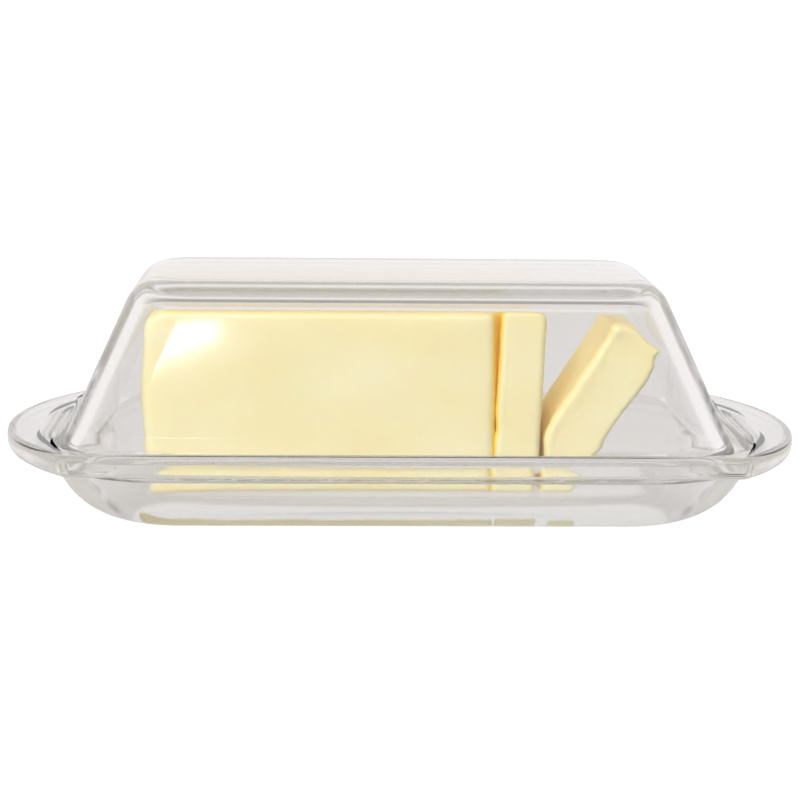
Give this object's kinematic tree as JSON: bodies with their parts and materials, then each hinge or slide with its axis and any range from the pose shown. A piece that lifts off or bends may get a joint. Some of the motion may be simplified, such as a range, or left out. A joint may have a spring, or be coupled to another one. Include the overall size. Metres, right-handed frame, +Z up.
{
  "type": "butter dish",
  "caption": "Clear pressed-glass butter dish: winged oval-ended tray with a lift-off thick-walled cover, holding a cut block of butter.",
  "frame": {"origin": "centre of the tray foot's flat underside, on the surface that the dish stands on", "axes": "+X along the dish towards the end with the cut slices, +Y towards the back, +Z up"},
  "size_m": [0.2, 0.0974, 0.061],
  "materials": {
    "tray_glass": "clear fire-polished pressed glass",
    "cover_glass": "clear fire-polished pressed glass",
    "butter": "soft satin butter with cut faces"
  },
  "bodies": {
    "tray": {"tray": "tray_glass", "butter_block": "butter", "butter_slice_standing": "butter", "butter_slice_leaning": "butter"},
    "cover": {"cover": "cover_glass"}
  },
  "joints": [
    {"name": "cover_lift", "type": "slide", "parent": "tray", "child": "cover", "axis": [0, 0, 1], "range_m": [0, 0.05]}
  ]
}
